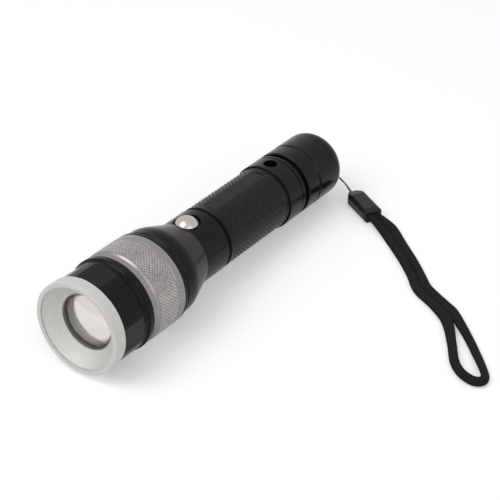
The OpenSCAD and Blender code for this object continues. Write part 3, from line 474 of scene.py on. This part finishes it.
knurl(ring_bm, ring_r, ring_knurl_low, ring_knurl_row, ring_knurl_rows, ring_knurl_depth, ring_knurl_steps,
      ring_knurl_wide)
focus_ring = to_object(ring_bm, "focus_ring_body")
cam_low_r, cam_high_r, cam_half, cam_rear = 14.75, 17.2, 3.3, 120.0
cam_lead, cam_swing, cam_rise, cam_steps = 11.25, 82.5, 11.0, 16
cam_section = ((cam_low_r, -cam_half), (cam_low_r, cam_half), (cam_high_r, cam_half), (cam_high_r, -cam_half))
cam_turn = Matrix.Rotation(radians(-cam_swing / cam_steps), 3, "Z")
cam_cutter = bmesh.new()
for start in guide_turns:
    swing = Matrix.Rotation(radians(start + cam_lead), 3, "Z")
    corners = [cam_cutter.verts.new(swing @ Vector((x, y, cam_rear))) for x, y in cam_section]
    rear_end = cam_cutter.faces.new(corners)
    front = [rear_end] + list(rear_end.edges)
    for k in range(cam_steps):
        front = bmesh.ops.extrude_face_region(cam_cutter, geom=front, use_keep_orig=k == 0)["geom"]
        moved = [item for item in front if isinstance(item, bmesh.types.BMVert)]
        bmesh.ops.rotate(cam_cutter, cent=(0, 0, 0), matrix=cam_turn, verts=moved)
        bmesh.ops.translate(cam_cutter, vec=(0, 0, cam_rise / cam_steps), verts=moved)
bmesh.ops.recalc_face_normals(cam_cutter, faces=cam_cutter.faces)
cut_with(focus_ring, cam_cutter)
set_on(focus_ring, "ring", ring_satin, "silver_aluminium", "focus_ring")

# Head sleeve: turned, black anodised, with a rear lip, a round groove and eight milled flats.
# Its skirt slides on the barrel, kept from turning by three steel pins that follow the cams.
lip_r, head_r, skirt_r, head_bore_r, pill_room_r = 18.5, 18.15, 15.4, 16.2, 15.0
skirt_rear, lip_rear, skirt_front, pill_room_front = 119.25, 133.85, 136.0, 141.8
head_front, head_break = 149.7, 0.2
groove_r, groove_round, groove_z, groove_steps = 17.3, 1.9, 137.75, 12
flat_count, flat_turn, flat_r, flat_outer, flat_half = 8, -4, 17.4, 24, 9
flat_rear, flat_front = 138.4, 151.0
follower_r, follower_inner, follower_outer, follower_z = 1.25, 12.0, 16.4, 121.5
lip_reach = acos((groove_r + groove_round - lip_r) / groove_round)
land_reach = acos((groove_r + groove_round - head_r) / groove_round)
groove_edge = []
for k in range(groove_steps + 1):
    swing = -lip_reach + (lip_reach + land_reach) * k / groove_steps
    groove_edge.append((groove_r + groove_round * (1 - cos(swing)), groove_z + groove_round * sin(swing)))
head_outline = (
    [(slide_r, skirt_rear), (skirt_r, skirt_rear), (skirt_r, lip_rear), (lip_r - head_break, lip_rear),
     (lip_r, lip_rear + head_break)] + groove_edge
    + [(head_r, head_front - head_break), (head_r - head_break, head_front), (head_bore_r, head_front),
       (head_bore_r, pill_room_front), (pill_room_r, pill_room_front), (pill_room_r, skirt_front),
       (slide_r, skirt_front)])
head_sleeve = to_object(turned(head_outline), "head_body")
flat_cutter = bmesh.new()
for k in range(flat_count):
    block(flat_cutter, (flat_r, -flat_half, flat_rear), (flat_outer, flat_half, flat_front),
          flat_turn - 360 / flat_count * k)
cut_with(head_sleeve, flat_cutter)
pin_cutter = bmesh.new()
for turn in guide_turns:
    drill(pin_cutter, follower_r, follower_inner, follower_outer, follower_z, turn)
cut_with(head_sleeve, pin_cutter)
set_on(head_sleeve, "head", black_anodised, "black_aluminium", "head_sleeve", edge=0.12)
dress(steel, "follower_pins")

# Front bezel: bare aluminium with a satin dish, screwed into the head. It presses a grey rubber
# gasket onto the flange of the lens; a threaded ring of the same metal holds the lens from behind.
silver_satin = turned_metal("silver_satin", (0.56, 0.55, 0.532), (0.62, 0.609, 0.59), metallic=1.0,
                            rough=(0.66, 0.76), lines=5.0, grain=0.7, bump=0.05)
gasket_rubber = moulded("gasket_rubber", (0.1, 0.096, 0.095), (0.14, 0.135, 0.133), rough=(0.14, 0.22),
                        scale=2.0, bump=0.03, specular=0.9)
open_r, dish_r, dish_low, dish_high, dish_steps, dish_bow = 11.15, 16.4, 149.34, 154.2, 16, 0.4
bezel_seat_r, bezel_thread_r, bezel_rear, ledge_rear = 12.6, 16.15, 142.4, 147.3
dish = []
for k in range(dish_steps + 1):
    out = k / dish_steps
    dish.append((open_r + (dish_r - open_r) * out,
                 dish_low + (dish_high - dish_low) * ((1 - dish_bow) * out + dish_bow * out ** 2)))
bezel_outline = (
    [(bezel_seat_r, bezel_rear), (bezel_seat_r, ledge_rear), (open_r, ledge_rear)] + dish
    + [(dish_r, bezel_front), (bezel_r - bezel_break, bezel_front), (bezel_r, bezel_front - bezel_break),
       (bezel_r, head_front + bezel_break), (bezel_r - bezel_break, head_front), (bezel_thread_r, head_front),
       (bezel_thread_r, bezel_rear)])
bezel = to_object(turned(bezel_outline), "bezel_body")
set_on(bezel, "head", silver_satin, "silver_aluminium", "front_bezel")
dress(gasket_rubber, "lens_gasket")
dress(silver_satin, "lens_retainer")

# Lens: moulded in clear plastic, flat behind and domed in front, held by its flange. Where the
# dome faces the eye its flat back returns the light of the room, as total reflection does there;
# toward its far edge one looks through it.
lens_glass = bpy.data.materials.new("clear_lens")
lens_glass.use_nodes = True
lens_tree = lens_glass.node_tree
lens_shader = lens_tree.nodes["Principled BSDF"]
lens_shader.inputs["Transmission Weight"].default_value = 1.0
lens_shader.inputs["IOR"].default_value = 1.49
lens_coord = add(lens_tree, "ShaderNodeTexCoord")
lens_dust = add(lens_tree, "ShaderNodeTexNoise", [
    ("Vector", lens_coord.outputs["Object"]), ("Scale", 900.0), ("Detail", 4.0)])
lens_haze = add(lens_tree, "ShaderNodeMapRange", [
    ("Value", lens_dust.outputs[0]), ("From Min", 0.4), ("From Max", 0.75),
    ("To Min", 0.01), ("To Max", 0.05)])
lens_tree.links.new(lens_haze.outputs[0], lens_shader.inputs["Roughness"])
lens_path = add(lens_tree, "ShaderNodeLightPath")
lens_light = add(lens_tree, "ShaderNodeMath", [
    (0, lens_path.outputs["Is Shadow Ray"]), (1, lens_path.outputs["Is Diffuse Ray"])], operation="MAXIMUM")
lens_pass = add(lens_tree, "ShaderNodeBsdfTransparent", [("Color", (0.92, 0.93, 0.93, 1))])
lens_face = add(lens_tree, "ShaderNodeLayerWeight", [("Blend", 0.5)])
lens_return = add(lens_tree, "ShaderNodeMapRange", [
    ("Value", lens_face.outputs["Facing"]), ("From Min", 0.4), ("From Max", 0.45),
    ("To Min", 0.8), ("To Max", 0.07)])
lens_back = add(lens_tree, "ShaderNodeBsdfAnisotropic", [
    ("Color", (0.8, 0.775, 0.755, 1)), ("Roughness", 0.2)])
lens_seen = add(lens_tree, "ShaderNodeMixShader", [
    (0, lens_return.outputs[0]), (1, lens_shader.outputs[0]), (2, lens_back.outputs[0])])
lens_mix = add(lens_tree, "ShaderNodeMixShader", [
    (0, lens_light.outputs[0]), (1, lens_seen.outputs[0]), (2, lens_pass.outputs[0])])
lens_tree.links.new(lens_mix.outputs[0], lens_tree.nodes["Material Output"].inputs["Surface"])
flange_r, flange_rear, flange_front = 12.4, 144.5, 146.1
lens_r, lens_rim, lens_apex, lens_steps = 10.65, 148.0, 151.1, 24
lens_sphere = (lens_r ** 2 + (lens_apex - lens_rim) ** 2) / (2 * (lens_apex - lens_rim))
lens_reach = acos(1 - (lens_apex - lens_rim) / lens_sphere)
lens_outline = [(0, flange_rear), (flange_r, flange_rear), (flange_r, flange_front), (lens_r, flange_front)]
for k in range(lens_steps, -1, -1):
    swing = lens_reach * k / lens_steps
    lens_outline.append((lens_sphere * sin(swing), lens_apex - lens_sphere + lens_sphere * cos(swing)))
lens = to_object(turned(lens_outline, soften=0, closed=False), "lens_body")
set_on(lens, "head", lens_glass, "lens", "condenser_lens")

# Inside: the light source on its board and metal pill, the driver board, the cell between brass
# contacts, the tail spring and the charging insert. They show only through lens and port.
brass = moulded("brass", (0.50, 0.34, 0.12), (0.62, 0.44, 0.17), rough=(0.25, 0.4), scale=1.0, bump=0.05,
                metallic=1.0)
pill_metal = moulded("pill_aluminium", (0.50, 0.50, 0.49), (0.60, 0.60, 0.59), rough=(0.3, 0.45), scale=1.0,
                     bump=0.05, metallic=1.0)
phosphor = moulded("phosphor", (0.75, 0.58, 0.06), (0.85, 0.68, 0.10), rough=(0.2, 0.3), scale=1.0,
                   bump=0.05)
wire_red = moulded("wire_red", (0.33, 0.015, 0.012), (0.42, 0.02, 0.016), rough=(0.4, 0.5), scale=1.5,
                   bump=0.05)
cell_wrap = moulded("cell_wrap", (0.03, 0.08, 0.26), (0.04, 0.10, 0.32), rough=(0.3, 0.42), scale=0.4,
                    bump=0.04)
dress(brass, "spring_plate", "cell_contact", "driver_contact", "dc_contact")
dress(steel, "tail_spring", "led_screws")
dress(pill_metal, "led_pill")
dress(phosphor, "led_emitter")
dress(wire_red, "led_wires")
dress(cell_wrap, "battery_cell")

# Connector: a small moulded block of black plastic on the floor that joins string and strap.
# It is cut from a cube by its top, side and end views, and its edges are rounded.
connector_len, connector_half, connector_high, connector_round = 18.3, 4.0, 5.6, 0.8
connector_x, connector_y, connector_turn = 2, 17.5, radians(60)
nose_half, nose_low, nose_high, nose_side_len, nose_under_len, nose_brow_len = 1.7, 1.6, 4.2, 3.6, 3, 4.5
heel_half, heel_high, heel_side, heel_brow = 3.7, 4.8, 17.1, 15.9
corner, uncut = 1.3, 60
top_half = [(0, nose_half), (nose_side_len, connector_half), (heel_side, connector_half),
            (connector_len, heel_half)]
top_view = top_half + [(along, -across) for along, across in reversed(top_half)]
side_view = [(0, nose_low), (nose_under_len, 0), (connector_len, 0), (connector_len, heel_high),
             (heel_brow, connector_high), (nose_brow_len, connector_high), (0, nose_high)]
sole_half, wall_high = connector_half - corner, connector_high - corner
end_view = [(-sole_half, 0), (sole_half, 0), (connector_half, corner), (connector_half, wall_high),
            (sole_half, connector_high), (-sole_half, connector_high), (-connector_half, wall_high),
            (-connector_half, corner)]
connector_bm = bmesh.new()
bmesh.ops.create_cube(connector_bm, size=uncut)
for a, b, outline in ((0, 1, top_view), (0, 2, side_view), (1, 2, end_view)):
    middle = Vector((sum(p[0] for p in outline), sum(p[1] for p in outline))) / len(outline)
    for p, q in zip(outline, outline[1:] + outline[:1]):
        out = Vector((q[1] - p[1], p[0] - q[0]))
        if out.dot(Vector(p) - middle) < 0:
            out = -out
        place, normal = [0.0] * 3, [0.0] * 3
        place[a], place[b], normal[a], normal[b] = *p, *out
        whole = connector_bm.verts[:] + connector_bm.edges[:] + connector_bm.faces[:]
        made = bmesh.ops.bisect_plane(connector_bm, geom=whole, plane_co=place, plane_no=normal,
                                      clear_outer=True)
        rim = [item for item in made["geom_cut"] if isinstance(item, bmesh.types.BMEdge)]
        if rim:
            bmesh.ops.contextual_create(connector_bm, geom=rim)
bmesh.ops.recalc_face_normals(connector_bm, faces=connector_bm.faces)
bmesh.ops.bevel(connector_bm, geom=connector_bm.edges[:], offset=connector_round, offset_type="OFFSET",
                segments=4, profile=0.5, affect="EDGES", clamp_overlap=True, material=-1)
connector_place = (Matrix.Scale(0.001, 4)
                   @ Matrix.Translation((tail_x - tail_end + connector_x, connector_y, 0))
                   @ Matrix.Rotation(connector_turn, 4, "Z"))
connector = to_object(connector_bm, "strap_connector", connector_place, crease=40)
set_on(connector, "tail", black_plastic, "black_plastic", "lanyard_connector")

# Wrist string: a thin braided grey string that goes round the cross pin in the tail slot and
# back, with both ends in the nose of the connector. It hangs loose between them.


def on_floor(x, y, z):
    """A place in the shared frame from millimetres beside the tail and above the floor."""
    return Vector((tail_x - tail_end + x, y, z)) / 1000


def at_connector(along, across, up):
    """A place in the shared frame from millimetres along and across the connector."""
    return on_floor(connector_x + along * cos(connector_turn) - across * sin(connector_turn),
                    connector_y + along * sin(connector_turn) + across * cos(connector_turn), up)


def smooth_route(points, steps):
    """Points on a smooth curve through the route's own points."""
    last = len(points) - 1
    path = []
    for i in range(last):
        a, b, c, d = points[max(i - 1, 0)], points[i], points[i + 1], points[min(i + 2, last)]
        for u in (s / steps for s in range(steps)):
            path.append(b + (c - a) * (u / 2) + (2 * a - 5 * b + 4 * c - d) * (u * u / 2)
                        + (3 * b - a - 3 * c + d) * (u ** 3 / 2))
    return path + [points[-1]]


def sweep(name, path, widths, thick, tilts, sides):
    """A flat or round cord drawn along a path, with its length and girth as its own UV in millimetres."""
    bm = bmesh.new()
    along, round_it = bm.verts.layers.float.new("along"), bm.verts.layers.float.new("round")
    ring = bmesh.ops.create_circle(bm, cap_ends=True, segments=sides, radius=0.5)["verts"]
    fill_wide, fill_thick = 0.7, 0.8  # powers under one fill the round section out to its corners
    for vert in ring:
        vert[round_it] = atan2(vert.co.y, vert.co.x) / (2 * pi) % 1
        vert.co.x = copysign(abs(2 * vert.co.x) ** fill_wide, vert.co.x) / 2
        vert.co.y = copysign(abs(2 * vert.co.y) ** fill_thick, vert.co.y) / 2
    edges = bm.edges[:]
    here, run = Matrix.Identity(4), 0.0
    for i, point in enumerate(path):
        ahead = (path[min(i + 1, len(path) - 1)] - path[max(i - 1, 0)]).normalized()
        side = Vector((0, 0, 1)).cross(ahead).normalized()
        facing = Matrix((side, ahead.cross(side), ahead)).transposed().to_4x4()
        there = (Matrix.Translation(point) @ facing @ Matrix.Rotation(tilts[i], 4, "Z")
                 @ Matrix.Diagonal((widths[i], thick, 1, 1)))
        if i:
            made = bmesh.ops.extrude_edge_only(bm, edges=edges)["geom"]
            ring = [item for item in made if isinstance(item, bmesh.types.BMVert)]
            edges = [item for item in made if isinstance(item, bmesh.types.BMEdge)
                     and all(end in ring for end in item.verts)]
            run += (point - path[i - 1]).length * 1000
        bmesh.ops.transform(bm, matrix=there @ here.inverted(), verts=ring)
        for vert in ring:
            vert[along] = run
        here = there
    bmesh.ops.edgeloop_fill(bm, edges=edges)
    bmesh.ops.recalc_face_normals(bm, faces=bm.faces)
    weave_uv = bm.loops.layers.uv.new("weave")
    girth = pi * (widths[len(path) // 2] + thick) / 2 * 1000
    for face in bm.faces:
        over_seam = max(vert[round_it] for vert in face.verts) > 0.75
        for loop in face.loops:
            turn = loop.vert[round_it] + (1 if over_seam and loop.vert[round_it] < 0.25 else 0)
            loop[weave_uv].uv = (loop.vert[along], girth * turn)
    return to_object(bm, name, Matrix.Identity(4), crease=60), run / 1000


def woven(name, dark, light, pitch, bump):
    """A braid: two crossing sets of slanted yarns from the cord's own UV, with fine fibres."""
    material = bpy.data.materials.new(name)
    material.use_nodes = True
    tree = material.node_tree
    shader = tree.nodes["Principled BSDF"]
    uv = add(tree, "ShaderNodeUVMap", uv_map="weave")
    split = add(tree, "ShaderNodeSeparateXYZ", [(0, uv.outputs[0])])
    yarns = []
    for sense in (1, -1):
        slant = add(tree, "ShaderNodeMath", [
            (0, split.outputs[1]), (1, sense), (2, split.outputs[0])], operation="MULTIPLY_ADD")
        phase = add(tree, "ShaderNodeMath", [
            (0, slant.outputs[0]), (1, 2 * pi / pitch)], operation="MULTIPLY")
        yarns.append(add(tree, "ShaderNodeMath", [(0, phase.outputs[0])], operation="SINE"))
    braid = add(tree, "ShaderNodeMath", [
        (0, yarns[0].outputs[0]), (1, yarns[1].outputs[0])], operation="MAXIMUM")
    fibre = add(tree, "ShaderNodeTexNoise", [("Vector", uv.outputs[0]), ("Scale", 6.0), ("Detail", 3.0)])
    height = add(tree, "ShaderNodeMath", [
        (0, braid.outputs[0]), (1, 0.35), (2, fibre.outputs[0])], operation="MULTIPLY_ADD")
    shade = add(tree, "ShaderNodeMapRange", [
        ("Value", height.outputs[0]), ("From Min", 0.1), ("From Max", 0.9)])
    color = add(tree, "ShaderNodeMix", [
        ("Factor", shade.outputs[0]), (6, (*dark, 1)), (7, (*light, 1))], data_type="RGBA")
    tree.links.new(color.outputs[2], shader.inputs["Base Color"])
    relief = add(tree, "ShaderNodeBump", [
        ("Height", height.outputs[0]), ("Strength", bump), ("Distance", 0.0002)])
    tree.links.new(relief.outputs[0], shader.inputs["Normal"])
    shader.inputs["Roughness"].default_value = 0.75
    shader.inputs["Specular IOR Level"].default_value = 0.08
    return material


grey_thread = woven("grey_thread", (0.11, 0.12, 0.113), (0.2, 0.21, 0.2), pitch=0.5, bump=0.4)
string_d, string_apart, string_hold, wrap_gap = 0.6, 0.34, 1.5, 0.05
cord_hole_z, route_steps = 2.9, 6
wrap_r = pin_r + string_d / 2 + wrap_gap
wrap = [lay @ Vector((0, across * wrap_r, pin_z + up * wrap_r))
        for across, up in ((-1, 0), (-0.7, 0.7), (0, 1), (0.7, 0.7), (1, 0))]
string_route = [
    at_connector(string_hold, -string_apart, cord_hole_z), at_connector(0, -string_apart, cord_hole_z),
    on_floor(-0.2, 12.7, 4.8), on_floor(-1.4, 8.1, 6.5), on_floor(-1.6, 4.2, 9.4),
    lay @ Vector((0, -1.5, tail_end + 0.3)), *wrap, lay @ Vector((0, 1.1, tail_end + 0.2)),
    on_floor(-2.4, 0.4, 12.3), on_floor(-2.9, 3.7, 9.4), on_floor(-2.1, 7.6, 6.0), on_floor(-0.8, 12.3, 4.4),
    at_connector(0, string_apart, cord_hole_z), at_connector(string_hold, string_apart, cord_hole_z)]
string_path = smooth_route(string_route, route_steps)
string_count = len(string_path)
string, string_len = sweep("wrist_string", string_path, [string_d / 1000] * string_count, string_d / 1000,
                           [0.0] * string_count, 10)
set_on(string, "tail", grey_thread, "string", "lanyard_string")

# Wrist strap: a flat strap woven from black yarn. It leaves the connector, lies on the floor as a
# loop and goes back; its two strands lie against each other on the way and it tips up in the bend.
strap_weave = woven("strap_weave", (0.006, 0.0055, 0.006), (0.019, 0.017, 0.018), pitch=0.9, bump=0.6)
strap_w, strap_t, strap_grip, strap_apart, strap_hold = 3.55, 1.7, 0.76, 1.5, 1.8
strap_lead_z, strap_lead_w, floor_gap = 1.65, 4.2, 0.05
strap_floor = [
    (21.62, 48.61, 0, 3.9), (29.57, 58.62, 0, 3.7), (36.58, 66.42, 0, 3.7), (41.11, 70.78, 0, 3.9),
    (44.39, 75.11, 0, 4.1), (48.21, 83, 0, 4.1), (54.42, 91.95, 0.2, 4.4), (64.9, 99.9, 0.3, strap_w),
    (74, 106.2, 0.3, strap_w), (78.6, 111.5, 0.5, strap_w), (80.4, 116.4, 0.8, strap_w),
    (79.7, 119.2, 0.8, strap_w), (77.4, 120, 0.7, strap_w), (73.8, 118.1, 0.5, strap_w),
    (66, 110.8, 0.2, strap_w), (57.6, 102.3, 0, strap_w), (48.31, 91.38, 0, 4.4), (45.42, 86.28, 0, 4.15),
    (41.51, 78.29, 0, 4.1), (38.79, 73.91, 0, 3.9), (34.52, 69.48, 0, 3.7), (27.43, 61.68, 0, 3.7),
    (19.37, 51.75, 0, 3.8)]
held = strap_w * strap_grip
strap_route = [at_connector(connector_len - strap_hold, -strap_apart, cord_hole_z),
               at_connector(connector_len, -strap_apart, cord_hole_z), on_floor(15.3, 39.6, strap_lead_z)]
strap_tilts, strap_wides = [0.0, 0.0, 0.0], [held, held, strap_lead_w]
for x, y, tilt, wide in strap_floor:
    strap_route.append(on_floor(x, y, floor_gap + (wide * sin(tilt) + strap_t * cos(tilt)) / 2))
    strap_tilts.append(tilt)
    strap_wides.append(wide)
strap_route += [on_floor(12.7, 42.7, strap_lead_z), at_connector(connector_len, strap_apart, cord_hole_z),
                at_connector(connector_len - strap_hold, strap_apart, cord_hole_z)]
strap_tilts += [0.0, 0.0, 0.0]
strap_wides += [strap_lead_w, held, held]
strap_path = smooth_route(strap_route, route_steps)
strap_turns, strap_widths = [], []
for i in range(len(strap_path)):
    k, u = i // route_steps, i % route_steps / route_steps
    after = min(k + 1, len(strap_route) - 1)
    strap_turns.append(strap_tilts[k] * (1 - u) + strap_tilts[after] * u)
    strap_widths.append((strap_wides[k] * (1 - u) + strap_wides[after] * u) / 1000)
strap, strap_len = sweep("wrist_strap", strap_path, strap_widths, strap_t / 1000, strap_turns, 24)
set_on(strap, "tail", strap_weave, "strap", "lanyard_strap")

# Floor and light: a pale table under plain soft studio light on a white background.
# The floor glows a little where it is looked at, so that it meets the white and keeps the shadow.
floor_bm = bmesh.new()
bmesh.ops.create_grid(floor_bm, x_segments=1, y_segments=1, size=2)
floor = to_object(floor_bm, "floor", Matrix.Identity(4))
floor_paint = bpy.data.materials.new("pale_floor")
floor_paint.use_nodes = True
floor_tree = floor_paint.node_tree
floor_shader = floor_tree.nodes["Principled BSDF"]
floor_shader.inputs["Base Color"].default_value = (0.82, 0.82, 0.82, 1)
floor_shader.inputs["Roughness"].default_value = 0.9
floor_shader.inputs["Emission Color"].default_value = (1, 1, 1, 1)
floor_seen = add(floor_tree, "ShaderNodeLightPath")
floor_lift = add(floor_tree, "ShaderNodeMath", [
    (0, floor_seen.outputs["Is Camera Ray"]), (1, floor_seen.outputs["Is Glossy Ray"])], operation="MAXIMUM")
floor_glow = add(floor_tree, "ShaderNodeMath", [(0, floor_lift.outputs[0]), (1, 0.33)], operation="MULTIPLY")
floor_tree.links.new(floor_glow.outputs[0], floor_shader.inputs["Emission Strength"])
floor.data.materials.append(floor_paint)

world = bpy.data.worlds.new("studio")
scene.world = world
world.use_nodes = True
sky = world.node_tree
seen = add(sky, "ShaderNodeLightPath")
mirror = add(sky, "ShaderNodeMath", [
    (0, seen.outputs["Is Camera Ray"]), (1, seen.outputs["Is Glossy Ray"])], operation="MAXIMUM")
clear = add(sky, "ShaderNodeMath", [
    (0, mirror.outputs[0]), (1, seen.outputs["Is Transmission Ray"])], operation="MAXIMUM")
level = add(sky, "ShaderNodeMapRange", [("Value", clear.outputs[0]), ("To Min", 0.55), ("To Max", 1.0)])
sky.links.new(level.outputs[0], sky.nodes["Background"].inputs["Strength"])
sky.nodes["Background"].inputs["Color"].default_value = (1, 1, 1, 1)

lamp_size = 0.7
for name, place, power in (("key_light", (0.5, -0.25, 0.8), 3.6), ("fill_light", (0.35, 0.85, 0.55), 1.4)):
    lamp_data = bpy.data.lights.new(name, "AREA")
    lamp_data.size = lamp_size
    lamp_data.energy = power
    lamp = bpy.data.objects.new(name, lamp_data)
    lamp.location = place
    lamp.rotation_euler = (-Vector(place)).to_track_quat("-Z", "Y").to_euler()
    scene.collection.objects.link(lamp)
